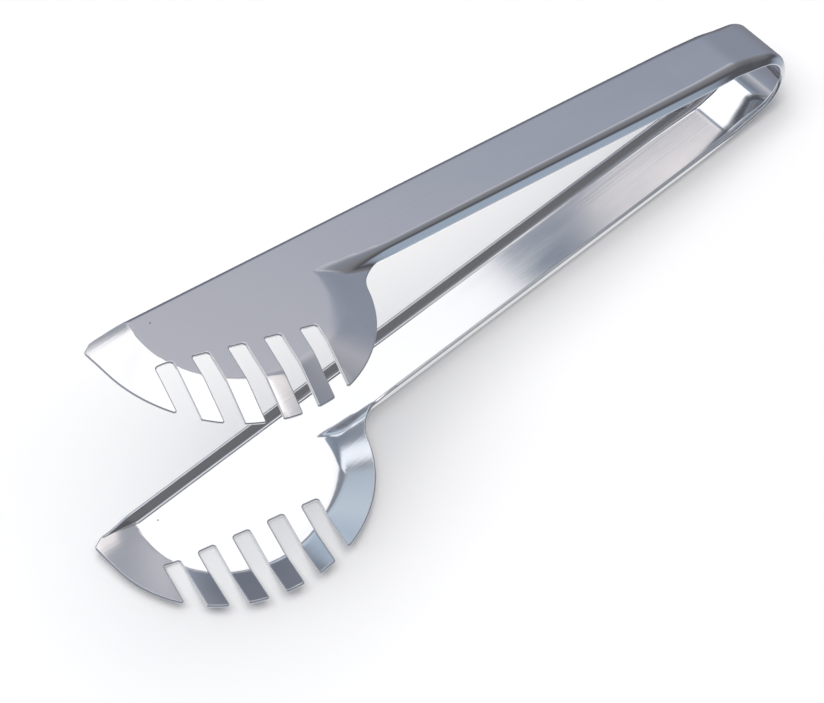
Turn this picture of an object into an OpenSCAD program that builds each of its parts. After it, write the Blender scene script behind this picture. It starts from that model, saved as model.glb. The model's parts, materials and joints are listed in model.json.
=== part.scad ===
// Spring-loaded kitchen tongs, pressed and bent from one strip of sheet steel.
// Millimetres, +Z up. The lower arm lies along X on its outer face. The spring bow
// is at +X, the comb heads are at -X, and their tines reach towards -Y.
// The origin is under the middle of the bounding box.
// The upper arm and head are the lower ones mirrored in a plane through the bow.

/* [Overall] */
// Length from the end of the bow to the tip of a head
tongs_length = 205; // [160:1:300]
// Thickness of the sheet
sheet_t = 0.8; // [0.6:0.1:1.4]
// Angle between the two arms at rest
open_angle = 15; // [8:0.5:24]

/* [Arms] */
// Width of an arm across its two folds
arm_w = 15.2; // [11:0.1:22]
// Height of the folded edges, measured from the outer face
rim_h = 3.3; // [2.4:0.1:5]
// Outer radius of the folds
fold_r = 1.4; // [1.1:0.1:2.4]
// Lean of the folded edges, outwards from upright
edge_lean = 14; // [0:1:30]
// Distance from the end of the bow to the neck, where a head begins
neck_from_bow = 133; // [100:1:200]

/* [Heads] */
// Radius of the round rim of a head
head_r = 34; // [24:0.5:45]
// Distance from the far side of the arm to the centre of the round rim
head_inset = 9.5; // [4:0.5:20]
// Radius of the flat floor of the head, where the sheet starts to curve up
floor_r = 23.2; // [16:0.1:40]
// Slope of the sheet where it ends at the round rim
rim_slope = 26; // [5:1:60]
// Lean of the folded edge beside the neck, where it runs into the dish, outwards from upright
neck_lean = 20; // [5:1:40]

/* [Comb] */
// Number of slots in a head
slots = 5; // [3:1:7]
// Width of a slot
slot_w = 4.1; // [2:0.1:8]
// Distance from one slot to the next
slot_pitch = 8.8; // [5:0.1:14]
// Distance from the centre of the round rim to the closed ends of the slots
slot_start = 12; // [5:0.5:20]
// Radius in the two corners of a closed slot end
slot_corner_r = 0.6; // [0.2:0.1:1.5]
// Turn of the comb away from square to the arm
comb_skew = 15; // [0:1:30]
// Shift of the middle slot from the centre of the round rim, towards the tip
comb_shift = 3.1; // [-6:0.1:8]

/* [Bow] */
// Outer radius of the round part of the bow
bow_r = 10.2; // [7:0.1:16]
// Angle of the kink where an arm turns into the bow
kink_angle = 20.4; // [5:0.1:35]
// Distance from the end of the bow to the kink
kink_from_bow = 12.7; // [10:0.1:24]
// Height of the curved edges along the bow
bow_rim_h = 1.9; // [1.2:0.1:3.2]
// Outer radius of the curved edges along the bow
bow_fold_r = 4; // [2:0.1:6]
// Lean of the curved edges along the bow, outwards from upright
bow_lean = 55; // [20:1:70]

/* [Hidden] */

$fn = 96;
reach = 300;                // longer than any cut needs to be
above = 3;                  // how far a cutting shape rises past the rim

steel = [0.76, 0.77, 0.79];

// How far the top of a folded edge stands out past its fold
edge_flare = (rim_h - fold_r * (1 - sin(edge_lean))) * tan(edge_lean) - fold_r * (1 - cos(edge_lean));
edge_half = arm_w / 2 + edge_flare;

// Far side of the arm, its middle line, and the centre of the round rim
far_y = (head_inset + head_r - edge_flare) / 2;
arm_y = far_y - arm_w / 2;
head_y = far_y - head_inset;
head_x = head_r - tongs_length / 2;

// Stations along the arm
neck_x = tongs_length / 2 - neck_from_bow;
kink_x = tongs_length / 2 - kink_from_bow;

// The bow's round part touches the kinked strip that leads into it
bow_x = tongs_length / 2 - bow_r;
bow_z = (bow_r + (kink_from_bow - bow_r) * sin(kink_angle)) / cos(kink_angle);
ramp_length = (bow_x + bow_r * sin(kink_angle) - kink_x) / cos(kink_angle);
bow_sweep = 180 - open_angle - 2 * kink_angle;

// Radius of the curve from the head's floor to its rim
dish_r = (head_r - floor_r) / sin(rim_slope);

// ---- shared shapes ----

// Everything above the sheet's face at the given depth, in a cross-section of the strip
module trough(r, lean, h, depth, top) {
    gap = edge_half - (h - r * (1 - sin(lean))) * tan(lean) - r * cos(lean);
    touch_y = gap + (r - depth) * cos(lean);
    touch_z = r - (r - depth) * sin(lean);
    top_y = touch_y + (top - touch_z) * tan(lean);
    for (side = [-1, 1])
        intersection() {
            translate([side * gap, r])
                circle(r = r - depth);
            translate([-reach, 0])
                square([2 * reach, min(r, top)]);
        }
    translate([-gap, depth])
        square([2 * gap, top - depth]);
    polygon([[-touch_y, touch_z], [touch_y, touch_z], [top_y, top], [-top_y, top]]);
}

// Cross-section of the strip itself, with its outer face down
module strip_section(r, lean, h) {
    difference() {
        trough(r, lean, h, 0, h);
        trough(r, lean, h, sheet_t, h + above);
    }
}

module arm_section() {
    strip_section(fold_r, edge_lean, rim_h);
}

module bow_section() {
    strip_section(bow_fold_r, bow_lean, bow_rim_h);
}

// Carries a cross-section along X
module along_x(from_x, to_x) {
    translate([from_x, arm_y, 0])
        rotate([90, 0, 90])
            linear_extrude(height = to_x - from_x)
                children();
}

// Everything past the kink's mitre, on the side of the bow
module past_kink() {
    translate([kink_x, -reach / 2, 0])
        rotate([0, -kink_angle / 2, 0])
            translate([0, 0, -reach / 2])
                cube([reach, reach, reach]);
}

// Turns the lower half of the tongs into the upper half
module as_upper() {
    translate([bow_x, 0, bow_z])
        rotate([0, open_angle, 0])
            mirror([0, 0, 1])
                translate([-bow_x, 0, -bow_z])
                    children();
}

// ---- handle ----

module handle() {
    difference() {
        along_x(neck_x, tongs_length / 2)
            arm_section();
        past_kink();
    }
}

// ---- head ----

// Everything above the dished face at the given depth, as a profile to be revolved
module dish_profile(depth) {
    translate([0, depth])
        square([floor_r, rim_h + above]);
    intersection() {
        translate([floor_r, dish_r])
            circle(r = dish_r - depth, $fn = 240);
        square([reach, rim_h + above]);
    }
}

// Everything inside the cone that squares off the edge of the round rim
module rim_cone_profile() {
    low_r = floor_r + (dish_r + above) * tan(rim_slope);
    high_r = floor_r + (dish_r - rim_h - 2 * above) * tan(rim_slope);
    polygon([[0, -above], [low_r, -above], [high_r, rim_h + 2 * above], [0, rim_h + 2 * above]]);
}

module dish_space(depth) {
    translate([head_x, head_y, 0])
        rotate_extrude($fn = 180)
            dish_profile(depth);
}

module rim_cone() {
    translate([head_x, head_y, 0])
        rotate_extrude($fn = 180)
            rim_cone_profile();
}

// Everything on the tine side of the far folded edge's face at the given depth
module far_edge_space(depth, top) {
    along_x(-reach / 2, neck_x) {
        trough(fold_r, edge_lean, rim_h, depth, top);
        translate([-reach, -above])
            square([reach, top + above]);
    }
}

// Everything on the far side of the neck's near edge, above the face at the given depth
module neck_profile(depth, top) {
    foot_y = edge_half - rim_h * tan(neck_lean) - depth / cos(neck_lean);
    polygon([
        [-foot_y - depth * tan(neck_lean), depth],
        [reach, depth],
        [reach, top],
        [-foot_y - top * tan(neck_lean), top]
    ]);
}

// Everything above the head's face at the given depth
module head_space(depth, top) {
    intersection() {
        union() {
            dish_space(depth);
            along_x(head_x, neck_x)
                neck_profile(depth, top);
        }
        far_edge_space(depth, top);
    }
}

// One slot, from its closed end outwards along -Y
module slot_outline() {
    straight = slot_w - 2 * slot_corner_r;
    for (side = [-1, 1])
        translate([side * straight / 2, -slot_corner_r])
            circle(r = slot_corner_r, $fn = 24);
    translate([-straight / 2, -2 * slot_corner_r])
        square([straight, 2 * slot_corner_r]);
    translate([-slot_w / 2, -2 * head_r])
        square([slot_w, 2 * head_r - slot_corner_r]);
}

module comb_slots() {
    translate([head_x, head_y, -above])
        rotate([0, 0, -comb_skew])
            for (i = [0 : slots - 1])
                translate([-comb_shift + (i - (slots - 1) / 2) * slot_pitch, -slot_start, 0])
                    linear_extrude(height = rim_h + 3 * above)
                        slot_outline();
}

// The neck's last stretch keeps its folded edges, so the cone only trims the round rim
module head_outline_space() {
    rim_cone();
    translate([head_x, far_y - arm_w - edge_flare, -above])
        cube([neck_x - head_x, arm_w + 2 * edge_flare, rim_h + 2 * above]);
    translate([head_x - sqrt(pow(head_r, 2) - pow(head_inset, 2)), head_y, -above])
        cube([head_r, reach, rim_h + 2 * above]);
}

module head() {
    difference() {
        intersection() {
            head_space(0, rim_h);
            head_outline_space();
        }
        head_space(sheet_t, rim_h + above);
        comb_slots();
    }
}

// ---- bow ----

// The straight strip between the kink and the round part
module bow_ramp() {
    intersection() {
        past_kink();
        translate([kink_x, arm_y, 0])
            rotate([0, -kink_angle, 0])
                rotate([90, 0, 90])
                    translate([0, 0, -sheet_t])
                        linear_extrude(height = ramp_length + sheet_t)
                            bow_section();
    }
}

module bow_round() {
    translate([bow_x, arm_y, bow_z])
        rotate([90, 0, 0])
            rotate([0, 0, kink_angle - 90])
                rotate_extrude(angle = bow_sweep)
                    translate([bow_r, 0])
                        mirror([1, 0])
                            rotate(-90)
                                bow_section();
}

// ---- nodes ----

module lower_handle() {
    color(steel) handle();
}

module lower_head() {
    color(steel) head();
}

module spring_bow() {
    color(steel)
        union() {
            bow_ramp();
            bow_round();
            as_upper() bow_ramp();
        }
}

module upper_handle() {
    color(steel) as_upper() handle();
}

module upper_head() {
    color(steel) as_upper() head();
}

lower_handle();
lower_head();
spring_bow();
upper_handle();
upper_head();
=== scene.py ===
"""Looks of the spring-loaded tongs: sheet-steel pieces, their polished finish, studio and camera.

Every piece of the lower half is built in millimetres in the CAD frame, with the outer face of the
sheet down. The upper half is the same shape mirrored in the plane through the bow's centre.
"""
import json
import math

import bpy
import numpy as np
from mathutils import Matrix, Vector
from mathutils.geometry import delaunay_2d_cdt


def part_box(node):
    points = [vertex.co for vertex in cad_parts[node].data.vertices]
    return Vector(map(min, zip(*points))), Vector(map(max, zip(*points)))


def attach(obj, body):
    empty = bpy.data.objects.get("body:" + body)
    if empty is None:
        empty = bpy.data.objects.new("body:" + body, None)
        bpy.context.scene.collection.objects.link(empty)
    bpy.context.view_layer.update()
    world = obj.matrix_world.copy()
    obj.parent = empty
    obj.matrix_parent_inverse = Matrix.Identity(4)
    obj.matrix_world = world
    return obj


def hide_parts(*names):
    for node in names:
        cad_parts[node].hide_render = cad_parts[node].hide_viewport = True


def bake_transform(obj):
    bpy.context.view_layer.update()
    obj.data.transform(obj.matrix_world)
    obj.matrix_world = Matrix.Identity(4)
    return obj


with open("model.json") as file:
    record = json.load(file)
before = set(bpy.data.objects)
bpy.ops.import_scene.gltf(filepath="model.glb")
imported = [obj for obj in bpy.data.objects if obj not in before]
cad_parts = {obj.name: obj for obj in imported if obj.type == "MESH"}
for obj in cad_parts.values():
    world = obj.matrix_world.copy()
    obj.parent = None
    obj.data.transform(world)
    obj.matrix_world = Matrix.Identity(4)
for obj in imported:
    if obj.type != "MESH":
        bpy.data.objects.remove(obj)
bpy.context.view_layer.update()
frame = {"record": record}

# ---- sizes, in millimetres and degrees ----

MM = 0.001
SHEET = 0.8
EDGE_ROUND = 0.3            # the rolled corner along every cut edge of the sheet
EDGE_STEPS = 4

OPEN_ANGLE = 15.0           # between the arms at rest
ARM_W = 15.2                # from side to side of the arm, where its folds end
RIM_H = 3.3                 # from the web's outer face to the flange's cut edge
FOLD_R = 1.4
EDGE_LEAN = 14.0            # the flanges lean outwards from upright by this angle
WEB_STEPS = 8               # steps across half the web, one fold and one flange
FOLD_STEPS = 12
FLANGE_STEPS = 4
GUARD = 0.12                # a close row beside each fold keeps the flat faces' shading flat
HANDLE_STEPS = 60

HEAD_R = 34.0
HEAD_INSET = 9.5            # the head's middle stands this far inside the arm's far side
TIP_REACH = 1.0             # at the tip the dish climbs on this far past the rim's circle
NECK_FILLET = 9.0
NECK_EASE = 3.0             # the dish keeps its slope this far past the rim, inside the neck
NECK_CLIMB = 0.1            # and beyond that climbs with the square of the distance
NECK_FOLD_R = 4.0           # the near fold softens to this radius where it runs out in the dish
NECK_SOFT = (-24.0, -45.0)  # and does so between these places along the tongs
TIP_TAPER = 12.0            # the far rim comes down between these distances before the tip
TIP_TAPER_END = 3.5
TIP_TAPER_STEPS = 12
TIP_RIM_H = 2.2
TIP_INSET = 1.5             # the tip's corner stands this far inside the arm's far side
TIP_CORNER = 0.4

SLOTS = 5
SLOT_W = 4.1
SLOT_PITCH = 8.8
SLOT_START = 12.0           # the slots' closed ends stand this far out from the head's middle
SLOT_CORNER = 0.7
TINE_CORNER = 0.5
CORNER_STEPS = 6
COMB_SKEW = 15.0            # the slots are turned by this angle from straight across
COMB_SHIFT = 3.1            # the middle slot stands this far towards the tip from the middle

KINK_ANGLE = 10.6           # slope of the ramp that leads into the bow
KINK_FILLET = 16.0
LEAD_STEPS = 24             # steps along the straight lead, the kink, the ramp and half the bow
KINK_STEPS = 6
RAMP_STEPS = 16
BOW_STEPS = 40
RIM_TURN = (26.0, 11.0)     # the rims turn into the ramp between these distances from the end

HEAD_SEAM = 125.0           # distance from the end of the bow to the seam of handle and head
BOW_SEAM = 34.0             # distance from the end of the bow to the seam of handle and bow

# How the channel changes towards the bow. For each distance from the bow's end: half the
# width of the flat web, the folds' angle, and the height of the rim.
CHANNEL = [(0.0, 6.0, 62.0, 2.2), (3.0, 6.0, 60.0, 2.2), (6.0, 5.7, 61.0, 2.3),
           (10.5, 5.2, 54.0, 2.3), (13.0, 5.0, 54.0, 2.5), (17.5, 5.0, 60.0, 2.8),
           (22.0, 5.3, 67.0, 3.1), (26.0, 5.5, 72.0, 3.25), (31.0, 5.7, 74.0, 3.3),
           (59.0, 6.0, 76.0, 3.3), (110.0, 6.2, 76.0, 3.3)]

# How the dish changes from the tip to the neck. For each place along the head, from its middle
# and positive towards the bow: radius of the flat floor, radius of the bend round it, and the
# slope outside the bend.
DISH = [(-34.0, 23.2, 2.5, 12.4), (-18.0, 22.7, 4.0, 16.0), (-9.0, 22.3, 6.0, 16.5),
        (10.0, 22.3, 8.0, 16.2), (22.0, 23.2, 15.0, 15.6)]
NEAR_CREASE = 2.5           # how sharply the dish meets the near fold: higher is sharper
FAR_CREASE = 5              # and the far fold

GRID = 0.8                  # spacing of the head's mesh
SLOPE_STEP = 1e-3           # distance over which the head's slopes are measured


def corner(node, which):
    """Low (0) or high (1) corner of a CAD node's box, in millimetres."""
    return [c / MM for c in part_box(node)[which]]


def flange_run(fold_r, lean, rim_h):
    """Fold angle, and length of the straight part of the flange above the fold."""
    turn = math.radians(90 - lean)
    return turn, (rim_h - fold_r * (1 - math.cos(turn))) / math.sin(turn)


arm_turn, arm_straight = flange_run(FOLD_R, EDGE_LEAN, RIM_H)
edge_flare = FOLD_R * math.sin(arm_turn) + arm_straight * math.cos(arm_turn) - FOLD_R
pivot = [c / MM for c in frame["record"]["behaviour"]["joints"][0]["pos_m"]]
bow_end_x = corner("spring_bow", 1)[0]
far_y = corner("lower_head", 1)[1] - edge_flare
arm_y = far_y - ARM_W / 2
edge_half = ARM_W / 2 + edge_flare
head_x = corner("lower_head", 0)[0] + HEAD_R
head_y = far_y - HEAD_INSET
bow_x, bow_z = pivot[0], pivot[2]
bow_r = bow_end_x - bow_x

to_upper = (Matrix.Translation((bow_x, 0, bow_z))
            @ Matrix.Rotation(math.radians(OPEN_ANGLE), 4, "Y")
            @ Matrix.Diagonal((1, 1, -1, 1))
            @ Matrix.Translation((-bow_x, 0, -bow_z)))


def mix(a, b, share):
    """The value at a share of the way from a to b."""
    return a + (b - a) * share


def ease(share):
    """A smooth start and end from 0 to 1, for a number or an array."""
    share = np.clip(share, 0, 1)
    return share * share * (3 - 2 * share)


# ---- mesh pieces ----

def make_piece(name, points, faces, along, upper=False, normals=None, flat=()):
    """A mesh piece from points in millimetres; the upper half's copy is mirrored.

    along holds each point's (along, across) place on the strip, for the brushed grain."""
    if upper:
        points = [to_upper @ Vector(p) for p in points]
        faces = [tuple(reversed(f)) for f in faces]
    mesh = bpy.data.meshes.new(name)
    mesh.from_pydata([Vector(p) * MM for p in points], [], faces)
    mesh.update()
    grain = mesh.uv_layers.new(name="grain")
    for loop in mesh.loops:
        grain.data[loop.index].uv = [c * MM for c in along[loop.vertex_index]]
    rims = {key for f in flat for key in mesh.polygons[f].edge_keys}
    for polygon in mesh.polygons:
        polygon.use_smooth = polygon.index not in flat
    for edge in mesh.edges:
        edge.use_edge_sharp = edge.key in rims
    if normals is not None:
        if upper:
            turn = to_upper.to_3x3()
            normals = [turn @ Vector(n) for n in normals]
        mesh.normals_split_custom_set_from_vertices([Vector(n).normalized() for n in normals])
    piece = bpy.data.objects.new(name, mesh)
    bpy.context.scene.collection.objects.link(piece)
    return piece


# ---- the bent strip: handles and bow ----

def rolled_edge():
    """The cut edge's outline from outer to inner face: (past the outer face's end, inwards)."""
    outline = []
    for i in range(1, EDGE_STEPS + 1):
        a = math.pi / 2 * i / EDGE_STEPS
        outline.append((EDGE_ROUND * math.sin(a), EDGE_ROUND * (1 - math.cos(a))))
    return outline + [(out, SHEET - deep) for out, deep in reversed(outline)] + [(0, SHEET)]


def outer_half(gap, turn, rim_h):
    """Outer face of half a section, from the middle out: (across, inwards, tilt) per point."""
    width = edge_half - gap
    fold_r = (width * math.sin(turn) - rim_h * math.cos(turn)) / (1 - math.cos(turn))
    straight = rim_h * math.sin(turn) / (1 - math.cos(turn)) - width
    rows = [(gap * i / WEB_STEPS, 0, 0) for i in range(WEB_STEPS)]
    rows.append((gap - GUARD, 0, 0))
    for i in range(FOLD_STEPS + 1):
        a = turn * i / FOLD_STEPS
        rows.append((gap + fold_r * math.sin(a), fold_r * (1 - math.cos(a)), a))
    foot = rows[-1]
    length = straight - EDGE_ROUND
    for run in [GUARD] + [length * i / FLANGE_STEPS for i in range(1, FLANGE_STEPS + 1)]:
        rows.append((foot[0] + run * math.cos(turn), foot[1] + run * math.sin(turn), turn))
    return rows


def section(gap, turn, rim_h):
    """Outline of the whole section as (across, inwards), once round from the outer middle."""
    outer = outer_half(gap, turn, rim_h)
    end_y, end_z, turn = outer[-1]
    along = (math.cos(turn), math.sin(turn))
    half = [(y, z) for y, z, a in outer]
    half += [(end_y + out * along[0] - deep * along[1], end_z + out * along[1] + deep * along[0])
             for out, deep in rolled_edge()]
    half += [(y - SHEET * math.sin(a), z + SHEET * math.cos(a)) for y, z, a in reversed(outer[:-1])]
    return half + [(-y, z) for y, z in reversed(half[1:-1])]


def channel_at(from_end):
    """Web's half width, fold angle in radians and rim height at a distance from the bow's end."""
    places = [row[0] for row in CHANNEL]
    gap, turn, rim_h = (np.interp(from_end, places, [row[k] for row in CHANNEL]) for k in (1, 2, 3))
    return float(gap), math.radians(float(turn)), float(rim_h)


def bow_path():
    """Stations (x, z, lean of the section) along the outer face, from handle to mid-bow."""
    kink = math.radians(KINK_ANGLE)
    touch = (bow_x + bow_r * math.sin(kink), bow_z - bow_r * math.cos(kink))
    kink_x = touch[0] - touch[1] / math.tan(kink)
    bend_x = kink_x - KINK_FILLET * math.tan(kink / 2)
    seam_x = bow_end_x - BOW_SEAM
    places = [(mix(seam_x, bend_x, i / LEAD_STEPS), 0) for i in range(LEAD_STEPS)]
    for i in range(KINK_STEPS + 1):
        a = kink * i / KINK_STEPS
        places.append((bend_x + KINK_FILLET * math.sin(a), KINK_FILLET * (1 - math.cos(a))))
    start = places[-1]
    for i in range(1, RAMP_STEPS):
        share = i / RAMP_STEPS
        places.append((mix(start[0], touch[0], share), mix(start[1], touch[1], share)))
    turn_from, turn_to = RIM_TURN
    stations = [(x, z, kink * ease((turn_from - bow_end_x + x) / (turn_from - turn_to)))
                for x, z in places]
    middle = math.radians(90 - OPEN_ANGLE / 2)
    for i in range(BOW_STEPS + 1):
        a = mix(kink, middle, i / BOW_STEPS)
        stations.append((bow_x + bow_r * math.sin(a), bow_z - bow_r * math.cos(a), a))
    return stations


def strip_rings(stations):
    """One ring of points per station (x, z, lean) along the lower half's outer face."""
    rings = []
    for x, z, tilt in stations:
        outline = section(*channel_at(bow_end_x - x))
        rings.append([(x - deep * math.sin(tilt), arm_y + across, z + deep * math.cos(tilt))
                      for across, deep in outline])
    return rings


def skin(rings):
    """A closed skin over the rings with a flat cap on each end: points, faces, caps, places.

    caps numbers the faces of the two flat ends, and places holds (along, across) per point."""
    size = len(rings[0])
    points = [p for ring in rings for p in ring]
    faces = []
    for r in range(len(rings) - 1):
        for i in range(size):
            j = (i + 1) % size
            faces.append((r * size + i, r * size + j, (r + 1) * size + j, (r + 1) * size + i))
    last = (len(rings) - 1) * size
    caps = []
    half = size // 2
    for start, flip in ((0, True), (last, False)):
        for side in (1, -1):
            for i in range(half // 2):
                cap = [start + side * k % size for k in (i, i + 1, half - i - 1, half - i)]
                caps.append(len(faces))
                faces.append(tuple(reversed(cap)) if flip == (side > 0) else tuple(cap))
    reach = 0.0
    places = []
    for r, ring in enumerate(rings):
        if r:
            reach += (Vector(ring[0]) - Vector(rings[r - 1][0])).length
        places += [(reach, p[1]) for p in ring]
    return points, faces, caps, places


def build_handle(name, upper):
    """The channel between the head's seam and the bow's seam."""
    seam_x = bow_end_x - HEAD_SEAM
    bow_seam_x = bow_end_x - BOW_SEAM
    stations = [(mix(seam_x, bow_seam_x, i / HANDLE_STEPS), 0, 0) for i in range(HANDLE_STEPS + 1)]
    points, faces, caps, places = skin(strip_rings(stations))
    places = [(u + seam_x, v) for u, v in places]
    return make_piece(name, points, faces, places, upper=upper, flat=set(caps))


def build_bow(name):
    """The lower half of the bend with its kinked lead, then the upper half mirrored after it."""
    lower = strip_rings(bow_path())
    upper = [[tuple(to_upper @ Vector(p)) for p in ring] for ring in reversed(lower[:-1])]
    points, faces, caps, places = skin(lower + upper)
    places = [(u + bow_end_x - BOW_SEAM, v) for u, v in places]
    return make_piece(name, points, faces, places, flat=set(caps))


# ---- the dished comb heads ----

def fold_height(across, fold_r):
    """Height of the outer face at a distance across from the arm's middle line."""
    sweep = fold_r * math.sin(arm_turn)
    straight = (RIM_H - fold_r * (1 - math.cos(arm_turn))) / math.tan(arm_turn)
    run = across - edge_half + straight + sweep
    arc = fold_r - np.sqrt(fold_r ** 2 - np.clip(run, 0, sweep) ** 2)
    return arc + np.maximum(run - sweep, 0) * math.tan(arm_turn)


def curl_height(r, along):
    """Height of the dish's outer face at radius r; it climbs steeply past the neck."""
    places = [row[0] for row in DISH]
    floor_r, bend_r, slope = (np.interp(along, places, [row[k] for row in DISH]) for k in (1, 2, 3))
    slope = np.radians(slope)
    sweep = bend_r * np.sin(slope)
    run = r - floor_r
    arc = bend_r - np.sqrt(bend_r ** 2 - np.clip(run, 0, sweep) ** 2)
    beyond = np.maximum(r - HEAD_R - NECK_EASE, 0)
    return arc + np.maximum(run - sweep, 0) * np.tan(slope) + NECK_CLIMB * beyond ** 2


def lesser(a, b, sharpness):
    """Smaller of two heights with the crease between them rounded."""
    a = np.maximum(a, 1e-6)
    b = np.maximum(b, 1e-6)
    return (a ** -sharpness + b ** -sharpness) ** (-1 / sharpness)


def greater(a, b, sharpness):
    """Larger of two heights with the crease between them rounded."""
    return (a ** sharpness + b ** sharpness) ** (1 / sharpness)


def head_height(x, y):
    """Height of the lower head's outer face."""
    r = np.hypot(x - head_x, y - head_y)
    r = np.where(x > head_x, r, np.minimum(r, HEAD_R + TIP_REACH))
    curl = curl_height(r, x - head_x)
    soft = ease((x - NECK_SOFT[0]) / (NECK_SOFT[1] - NECK_SOFT[0]))
    near = fold_height(arm_y - y, mix(FOLD_R, NECK_FOLD_R, soft))
    far = fold_height(y - arm_y, FOLD_R)
    inner = np.where(x > head_x, lesser(near, curl, NEAR_CREASE), curl)
    return greater(far, inner, FAR_CREASE)


def both_sides(half):
    """The rows of half a section, from the middle out, with their mirror image before them."""
    return [-row for row in reversed(half[1:])] + half


def arm_rows():
    """The arm's rows from near to far: their y as folded, and their place v on the flat sheet."""
    rows = outer_half(*channel_at(HEAD_SEAM))
    flat = [0.0]
    for (last_y, last_z, _), (y, z, _) in zip(rows, rows[1:]):
        flat.append(flat[-1] + math.hypot(y - last_y, z - last_z))
    return [arm_y + y for y in both_sides([row[0] for row in rows])], both_sides(flat)


row_y, row_v = arm_rows()


def unrolled(y):
    """Distance across the sheet with both of the arm's folds laid flat."""
    return np.interp(y, row_y, row_v) + np.minimum(y - row_y[0], 0) + np.maximum(y - row_y[-1], 0)


def rolled(v):
    """The reverse of unrolled."""
    return np.interp(v, row_v, row_y) + np.minimum(v - row_v[0], 0) + np.maximum(v - row_v[-1], 0)


rim_r = HEAD_R - EDGE_ROUND
near_edge_y = rolled(row_v[0])


def arc_points(centre, radius, start, end, step):
    """Points on an arc from start to end, in radians, spaced by about step."""
    count = max(2, int(abs(end - start) * radius / step))
    return [(centre[0] + radius * math.cos(mix(start, end, i / count)),
             centre[1] + radius * math.sin(mix(start, end, i / count))) for i in range(count + 1)]


def rounded(points, radii):
    """The open path through points with the given radius at each."""
    path = []
    for i, (point, radius) in enumerate(zip(points, radii)):
        if not radius:
            path.append(point)
            continue
        here = Vector(point)
        back = (Vector(points[i - 1]) - here).normalized()
        on = (Vector(points[i + 1]) - here).normalized()
        half = back.angle(on) / 2
        reach = radius / math.tan(half)
        start, end = here + back * reach, here + on * reach
        middle = here + (back + on).normalized() * (radius / math.sin(half))
        turn = (start - middle).angle_signed(end - middle)
        for k in range(CORNER_STEPS + 1):
            arm = Matrix.Rotation(-turn * k / CORNER_STEPS, 2) @ (start - middle)
            path.append(tuple(middle + arm))
    return path


def spaced(path, step):
    """The path with its longer legs divided into equal parts of at most step."""
    result = [path[0]]
    for start, end in zip(path, path[1:]):
        count = max(1, math.ceil(math.dist(start, end) / step))
        result += [(mix(start[0], end[0], k / count), mix(start[1], end[1], k / count))
                   for k in range(1, count + 1)]
    return result


def comb_place(p, w):
    """Plan place of a point p along the comb towards the tip and w out from the head's middle."""
    skew = math.radians(COMB_SKEW)
    return (head_x - p * math.cos(skew) - w * math.sin(skew),
            head_y + p * math.sin(skew) - w * math.cos(skew))


def rim_angle(p):
    """Angle round the head's middle where the line p along the comb meets the rim."""
    x, y = comb_place(p, math.sqrt(rim_r ** 2 - p ** 2))
    return math.atan2(y - head_y, x - head_x) % math.tau


def head_outline():
    """The outer face's outline in plan, from the near end of the seam round to the far end."""
    seam_x = bow_end_x - HEAD_SEAM
    radius = NECK_FILLET + EDGE_ROUND
    drop = head_y - near_edge_y + radius
    fillet = (head_x + math.sqrt((rim_r + radius) ** 2 - drop ** 2), near_edge_y - radius)
    touch = math.atan2(fillet[1] - head_y, fillet[0] - head_x) % math.tau
    points = [(seam_x, near_edge_y)]
    points += arc_points(fillet, radius, math.pi / 2, touch - math.pi, GRID)
    radii = [0] * len(points)
    angle = touch
    for i in range(SLOTS):
        middle = COMB_SHIFT + (i - (SLOTS - 1) / 2) * SLOT_PITCH
        near_p = middle - SLOT_W / 2 - EDGE_ROUND
        far_p = middle + SLOT_W / 2 + EDGE_ROUND
        closed = SLOT_START - EDGE_ROUND
        rim = arc_points((head_x, head_y), rim_r, angle, rim_angle(near_p), GRID)
        points += rim[1:] + [comb_place(near_p, closed), comb_place(far_p, closed)]
        angle = rim_angle(far_p)
        points.append((head_x + rim_r * math.cos(angle), head_y + rim_r * math.sin(angle)))
        tine_r, slot_r = TINE_CORNER - EDGE_ROUND, SLOT_CORNER + EDGE_ROUND
        radii += [0] * (len(rim) - 2) + [tine_r, slot_r, slot_r, tine_r]
    rim = arc_points((head_x, head_y), rim_r, angle, math.pi, GRID)
    points += rim[1:] + [(head_x - rim_r, far_y - TIP_INSET)]
    radii += [0] * (len(rim) - 1) + [TIP_CORNER]
    end_x = head_x - HEAD_R + TIP_TAPER_END
    start_x = head_x - HEAD_R + TIP_TAPER
    run = (TIP_RIM_H - FOLD_R * (1 - math.cos(arm_turn))) / math.sin(arm_turn)
    low_v = row_v[-1] - (arm_straight - EDGE_ROUND) + run
    for i in range(TIP_TAPER_STEPS + 1):
        share = i / TIP_TAPER_STEPS
        v = mix(low_v, row_v[-1], ease(share))
        points.append((mix(end_x, start_x, share), float(rolled(v))))
        radii.append(0)
    points.append((seam_x, row_y[-1]))
    radii.append(0)
    return rounded(points, radii)


def inside(grid, edge):
    """The grid's points that lie inside the closed edge and well clear of it."""
    crossing = np.zeros(len(grid), bool)
    clear = np.full(len(grid), np.inf)
    for a, b in zip(edge, np.roll(edge, -1, axis=0)):
        leg = b - a
        rel = grid - a
        share = np.clip(rel @ leg / (leg @ leg), 0, 1)
        clear = np.minimum(clear, np.hypot(*(rel - share[:, None] * leg).T))
        if a[1] != b[1]:
            between = (a[1] > grid[:, 1]) != (b[1] > grid[:, 1])
            meets = a[0] + (grid[:, 1] - a[1]) * leg[0] / leg[1]
            crossing ^= between & (grid[:, 0] < meets)
    return grid[crossing & (clear > GRID / 4)]


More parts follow.
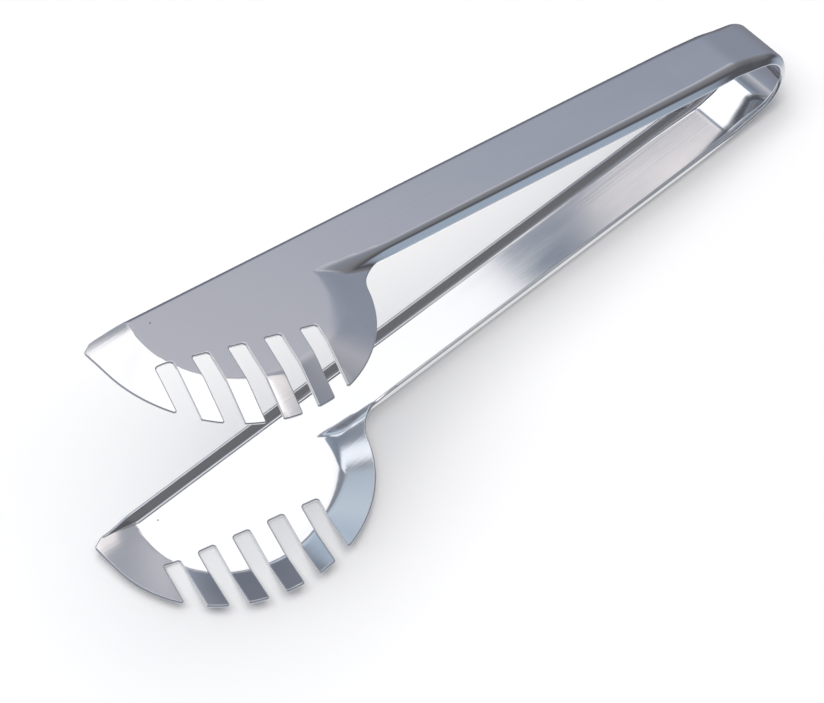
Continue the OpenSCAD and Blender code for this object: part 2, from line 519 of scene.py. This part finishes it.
def head_plan():
    """The head's sheet laid flat: places, faces, number of places round its edge, seam's places.

    The edge's places come first, and the seam's numbers run from its far end to its near end."""
    outline = [(x, float(unrolled(y))) for x, y in spaced(head_outline(), GRID)]
    seam_x = bow_end_x - HEAD_SEAM
    loop = outline + [(seam_x, v) for v in reversed(row_v)][1:-1]
    columns = np.arange(seam_x - GRID, head_x - HEAD_R, -GRID)
    rows = list(np.arange(row_v[0] - GRID, unrolled(head_y - HEAD_R), -GRID)) + row_v
    inner = inside(np.array([(x, v) for x in columns for v in rows]), np.array(loop))
    flat = [Vector(p) for p in loop] + [Vector(p) for p in inner]
    sides = [(i, (i + 1) % len(loop)) for i in range(len(loop))]
    places, _, faces, _, _, _ = delaunay_2d_cdt(flat, sides, [], 1, 1e-6)
    assert len(places) == len(flat), (len(places), len(flat))
    return places, faces, len(loop), [*range(len(outline) - 1, len(loop)), 0]


def edge_directions(outer, inwards, seam):
    """Directions out of the sheet past its cut edge; zero inside the seam, which stays square."""
    along = np.roll(outer, -1, axis=0) - np.roll(outer, 1, axis=0)
    outwards = np.cross(inwards, along)
    outwards[seam] = 0
    outwards[seam[0]] = np.cross(inwards[seam[0]], (1, 0, 0))
    outwards[seam[-1]] = np.cross(inwards[seam[-1]], (-1, 0, 0))
    lengths = np.linalg.norm(outwards, axis=1)
    outwards[lengths > 0] /= lengths[lengths > 0][:, None]
    return outwards


def build_head(name, upper):
    """The dished comb: its outer and inner faces, joined round the edge by rolled corners."""
    places, faces, count, seam = head_plan()
    x = np.array([p[0] for p in places])
    y = rolled(np.array([p[1] for p in places]))
    step = SLOPE_STEP
    slope_x = (head_height(x + step, y) - head_height(x - step, y)) / (2 * step)
    slope_y = (head_height(x, y + step) - head_height(x, y - step)) / (2 * step)
    slope_x[seam] = 0
    inwards = np.stack([-slope_x, -slope_y, np.ones_like(x)], 1)
    inwards /= np.linalg.norm(inwards, axis=1)[:, None]
    outer = np.stack([x, y, head_height(x, y)], 1)
    outwards = edge_directions(outer[:count], inwards[:count], seam)

    total = len(outer)
    points = [outer, outer + inwards * SHEET]
    normals = [-inwards, inwards]
    grain = [np.array(places), np.array(places)]
    rings = [np.arange(count)]
    # The rolled edge's last point is the inner face's own edge, so it adds no ring.
    for k, (out, deep) in enumerate(rolled_edge()[:-1]):
        turned = k + 1 if k < EDGE_STEPS else k
        lean = math.pi / 2 * turned / EDGE_STEPS
        points.append(outer[:count] + outwards * out + inwards[:count] * deep)
        normals.append(outwards * math.sin(lean) - inwards[:count] * math.cos(lean))
        grain.append(np.array(places[:count]))
        rings.append(2 * total + k * count + np.arange(count))
    rings.append(total + np.arange(count))
    all_faces = [tuple(reversed(f)) for f in faces] + [tuple(i + total for i in f) for f in faces]
    for low, high in zip(rings, rings[1:]):
        for i in range(count):
            j = (i + 1) % count
            all_faces.append((low[j], low[i], high[i], high[j]))
    points, normals = np.concatenate(points), np.concatenate(normals)
    # Half way up the seam's square wall there is no direction outwards; the wall faces the handle.
    normals[np.linalg.norm(normals, axis=1) < 0.5] = (1, 0, 0)
    return make_piece(name, points, all_faces, np.concatenate(grain), upper=upper, normals=normals)


lower_handle = build_handle("lower_handle_sheet", False)
upper_handle = build_handle("upper_handle_sheet", True)
bow = build_bow("spring_bow_sheet")
lower_head = build_head("lower_head_sheet", False)
upper_head = build_head("upper_head_sheet", True)


# ---- bodies ----

def stand_in(piece, node, body=None):
    """The piece takes the CAD node's place: the node is hidden, and the piece rides on the body if
    one is given.
    """
    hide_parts(node)
    if body:
        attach(piece, body)


stand_in(lower_handle, "lower_handle", "lower_arm")
stand_in(upper_handle, "upper_handle", "upper_arm")
stand_in(lower_head, "lower_head", "lower_arm")
stand_in(upper_head, "upper_head", "upper_arm")
stand_in(bow, "spring_bow")
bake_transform(bow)


# ---- finish ----

# Texture scales are per metre of (along, across) the strip.
GRAIN_SCALE = (40, 1500, 1)
GRAIN_DEPTH = 0.00002       # metres
GRAIN_STRENGTH = 0.15
WIPE_SCALE = (40, 160, 1)
WIPE_RANGE = (0.3, 0.7)     # most of the wipe noise's values lie between these
WIPE_ROUGHNESS = (0.075, 0.12)
WIPE_COLOURS = ((0.74, 0.75, 0.775, 1), (0.79, 0.795, 0.81, 1))
SPECK_SCALE = 70.0
SPECK_EDGE = (0.012, 0.022)  # a speck's soft edge, as shares of the specks' spacing
SPECK_COLOUR = (0.30, 0.29, 0.30, 1)


def linked(tree, kind, inputs=(), **settings):
    """A new shader node with its settings, and inputs given as (socket, value or output)."""
    node = tree.nodes.new(kind)
    for key, value in settings.items():
        setattr(node, key, value)
    for socket, value in inputs:
        if isinstance(value, bpy.types.NodeSocket):
            tree.links.new(value, node.inputs[socket])
        else:
            node.inputs[socket].default_value = value
    return node


def steel():
    """Polished steel with a fine grain along the strip, faint wipe marks and a few specks."""
    material = bpy.data.materials.new("polished_steel")
    material.use_nodes = True
    tree = material.node_tree
    shader = tree.nodes["Principled BSDF"]
    shader.inputs["Metallic"].default_value = 1.0
    place = linked(tree, "ShaderNodeUVMap", uv_map="grain").outputs["UV"]
    grain_place = linked(tree, "ShaderNodeMapping",
                         [("Vector", place), ("Scale", GRAIN_SCALE)]).outputs["Vector"]
    grain = linked(tree, "ShaderNodeTexNoise",
                   [("Vector", grain_place), ("Scale", 1.0), ("Detail", 3.0)]).outputs["Fac"]
    wipe_place = linked(tree, "ShaderNodeMapping",
                        [("Vector", place), ("Scale", WIPE_SCALE)]).outputs["Vector"]
    wipe = linked(tree, "ShaderNodeTexNoise",
                  [("Vector", wipe_place), ("Scale", 1.0), ("Detail", 4.0)]).outputs["Fac"]
    rough = linked(tree, "ShaderNodeMapRange",
                   [("Value", wipe), ("From Min", WIPE_RANGE[0]), ("From Max", WIPE_RANGE[1]),
                    ("To Min", WIPE_ROUGHNESS[0]), ("To Max", WIPE_ROUGHNESS[1])]).outputs["Result"]
    tint = linked(tree, "ShaderNodeMix",
                  [("Factor", wipe), ("A", WIPE_COLOURS[0]), ("B", WIPE_COLOURS[1])],
                  data_type="RGBA").outputs["Result"]
    from_speck = linked(tree, "ShaderNodeTexVoronoi",
                        [("Vector", place), ("Scale", SPECK_SCALE)]).outputs["Distance"]
    clean = linked(tree, "ShaderNodeMapRange",
                   [("Value", from_speck), ("From Min", SPECK_EDGE[0]),
                    ("From Max", SPECK_EDGE[1])]).outputs["Result"]
    colour = linked(tree, "ShaderNodeMix",
                    [("Factor", clean), ("A", SPECK_COLOUR), ("B", tint)],
                    data_type="RGBA").outputs["Result"]
    tree.links.new(colour, shader.inputs["Base Color"])
    tree.links.new(rough, shader.inputs["Roughness"])
    bump = linked(tree, "ShaderNodeBump",
                  [("Height", grain), ("Strength", GRAIN_STRENGTH),
                   ("Distance", GRAIN_DEPTH)]).outputs["Normal"]
    tree.links.new(bump, shader.inputs["Normal"])
    return material


finish = steel()
for piece in (lower_handle, upper_handle, lower_head, upper_head, bow):
    piece.data.materials.append(finish)


# ---- studio, in metres ----

FLOOR_SIZE = 6.0
FLOOR_COLOUR = (0.95, 0.94, 0.93, 1)

# The room that the steel mirrors, as (elevation in degrees, colour). NEAR_SKY is on the tines'
# side of the tongs (-Y) and FAR_SKY on the straight edge's side (+Y).
NEAR_SKY = [(-90, (0.90, 0.90, 0.90)), (-48, (0.85, 0.85, 0.86)), (-38, (0.48, 0.53, 0.61)),
            (-29, (0.40, 0.48, 0.585)), (-18, (0.22, 0.24, 0.28)), (-12, (0.12, 0.12, 0.135)),
            (-2, (0.10, 0.10, 0.115)), (8, (0.14, 0.145, 0.16)), (28, (0.24, 0.235, 0.24)),
            (50, (0.27, 0.29, 0.34)), (90, (0.60, 0.60, 0.60))]
FAR_SKY = [(-90, (0.85, 0.85, 0.85)), (-48, (0.80, 0.80, 0.80)), (-42, (0.20, 0.20, 0.22)),
           (-29, (0.25, 0.26, 0.30)), (-12, (0.28, 0.29, 0.34)), (2, (0.29, 0.31, 0.37)),
           (20, (0.32, 0.35, 0.42)), (28, (0.34, 0.375, 0.45)), (30.5, (0.42, 0.45, 0.53)),
           (31.6, (0.51, 0.52, 0.58)), (32.6, (0.54, 0.54, 0.60)), (34, (0.64, 0.64, 0.68)),
           (42, (0.42, 0.43, 0.48)), (52, (0.22, 0.26, 0.32)), (62, (0.42, 0.48, 0.58)),
           (90, (0.60, 0.60, 0.60))]
SKY_SEAM = (-0.2, 0.3)      # NEAR_SKY fades into FAR_SKY between these parts of +Y

# A flag dims the room far towards +Y, as (part of +Y, share of the light left). A white wall
# stands in the corner between -X and +Y, and the two ranges are its soft edges.
FLAG = [(0.62, 1.0), (0.74, 0.6), (0.84, 0.6), (0.90, 1.0)]
WALL = (0.95, 0.95, 0.95, 1)
WALL_X = (-0.30, -0.45)
WALL_Y = (0.55, 0.65)
BACKDROP = (0.80, 0.80, 0.82, 1)  # what the camera sees directly

# Name, low and high corner in plan, height, brightness, colour, and whether the steel mirrors it.
SOFTBOXES = [("main_softbox", (0.0, -0.05), (0.215, 0.36), 0.45, 1.05, (1.0, 0.95, 0.90), True),
             ("side_softbox", (0.317, 0.0), (0.402, 0.392), 0.60, 0.80, (1.0, 0.88, 0.80), True),
             ("back_softbox", (-0.30, 0.47), (0.22, 0.85), 0.45, 0.42, (0.66, 0.84, 1.0), True),
             ("strip_softbox", (-0.17, 0.385), (-0.02, 0.445), 0.45, 1.0, (0.95, 0.97, 1.0), True),
             ("fill_softbox", (-0.9, -0.9), (0.5, 0.5), 1.2, 2.15, (1.0, 1.0, 1.0), False)]

CAMERA_AZIMUTH = -33.42
CAMERA_ELEVATION = 53.73
CAMERA_ROLL = -8.84
CAMERA_DISTANCE = 1.2793
CAMERA_AIM = (-0.01227, 0.0131, 0.0)
CAMERA_LENS = 237.44


def build_floor():
    """A pale floor under the tongs, which the steel doesn't mirror."""
    mesh = bpy.data.meshes.new("studio_floor")
    half = FLOOR_SIZE / 2
    mesh.from_pydata([(-half, -half, 0), (half, -half, 0), (half, half, 0), (-half, half, 0)],
                     [], [(0, 1, 2, 3)])
    floor = bpy.data.objects.new("studio_floor", mesh)
    bpy.context.scene.collection.objects.link(floor)
    material = bpy.data.materials.new("pale_floor")
    material.use_nodes = True
    shader = material.node_tree.nodes["Principled BSDF"]
    shader.inputs["Base Color"].default_value = FLOOR_COLOUR
    shader.inputs["Roughness"].default_value = 0.9
    shader.inputs["Specular IOR Level"].default_value = 0.0
    mesh.materials.append(material)
    floor.visible_glossy = False


def sky_ramp(tree, share, colours):
    """The sky's colour by elevation; share runs from 0 at the nadir to 1 at the zenith."""
    ramp = linked(tree, "ShaderNodeValToRGB", [("Fac", share)])
    stops = ramp.color_ramp.elements
    stops[0].color, stops[1].color = (*colours[0][1], 1), (*colours[-1][1], 1)
    for elevation, colour in colours[1:-1]:
        stops.new((1 + math.sin(math.radians(elevation))) / 2).color = (*colour, 1)
    return ramp.outputs["Color"]


def fade(tree, value, between):
    """0 to 1 as the value passes between two limits."""
    return linked(tree, "ShaderNodeMapRange",
                  [("Value", value), ("From Min", between[0]),
                   ("From Max", between[1])]).outputs["Result"]


def blended(tree, factor, a, b):
    """The colour a where the factor is 0 and b where it is 1."""
    return linked(tree, "ShaderNodeMix", [("Factor", factor), ("A", a), ("B", b)],
                  data_type="RGBA").outputs["Result"]


def build_sky():
    """The mirrored room with its flag and wall, and the plain backdrop that the camera sees."""
    world = bpy.data.worlds.new("studio")
    bpy.context.scene.world = world
    world.use_nodes = True
    tree = world.node_tree
    direction = linked(tree, "ShaderNodeTexCoord").outputs["Generated"]
    parts = linked(tree, "ShaderNodeSeparateXYZ", [("Vector", direction)]).outputs
    share = fade(tree, parts["Z"], (-1.0, 1.0))
    room = blended(tree, fade(tree, parts["Y"], SKY_SEAM),
                   sky_ramp(tree, share, NEAR_SKY), sky_ramp(tree, share, FAR_SKY))
    flag = linked(tree, "ShaderNodeValToRGB", [("Fac", parts["Y"])])
    for place, light in FLAG:
        flag.color_ramp.elements.new(place).color = (light, light, light, 1)
    flag.color_ramp.elements[0].color = (1, 1, 1, 1)
    dimmed = linked(tree, "ShaderNodeVectorMath", [(0, room), (1, flag.outputs["Color"])],
                    operation="MULTIPLY").outputs["Vector"]
    wall = linked(tree, "ShaderNodeMath",
                  [(0, fade(tree, parts["X"], WALL_X)), (1, fade(tree, parts["Y"], WALL_Y))],
                  operation="MULTIPLY").outputs["Value"]
    seen = linked(tree, "ShaderNodeLightPath").outputs["Is Camera Ray"]
    shown = blended(tree, seen, blended(tree, wall, dimmed, WALL), BACKDROP)
    tree.links.new(shown, tree.nodes["Background"].inputs["Color"])


def build_softbox(name, low, high, height, brightness, colour, mirrored):
    """A level rectangular softbox from corner low to high in plan, facing down.

    Where mirrored is False, it lights the scene but the steel doesn't mirror it."""
    lamp = bpy.data.lights.new(name, "AREA")
    lamp.shape = "RECTANGLE"
    lamp.size, lamp.size_y = high[0] - low[0], high[1] - low[1]
    lamp.energy = brightness * math.pi * lamp.size * lamp.size_y
    lamp.color = colour
    holder = bpy.data.objects.new(name, lamp)
    holder.location = ((low[0] + high[0]) / 2, (low[1] + high[1]) / 2, height)
    holder.visible_glossy = mirrored
    bpy.context.scene.collection.objects.link(holder)


def build_camera():
    """A long lens that looks down at the tongs from the tines' side, rolled a little."""
    data = bpy.data.cameras.new("camera")
    data.lens = CAMERA_LENS
    data.clip_end = 20
    camera = bpy.data.objects.new("camera", data)
    camera.matrix_world = (Matrix.Translation(CAMERA_AIM)
                           @ Matrix.Rotation(math.radians(CAMERA_AZIMUTH), 4, "Z")
                           @ Matrix.Rotation(math.radians(90 - CAMERA_ELEVATION), 4, "X")
                           @ Matrix.Rotation(math.radians(CAMERA_ROLL), 4, "Z")
                           @ Matrix.Translation((0, 0, CAMERA_DISTANCE)))
    bpy.context.scene.collection.objects.link(camera)
    bpy.context.scene.camera = camera


build_floor()
build_sky()
for softbox in SOFTBOXES:
    build_softbox(*softbox)
build_camera()
bpy.context.scene.view_settings.view_transform = "Standard"
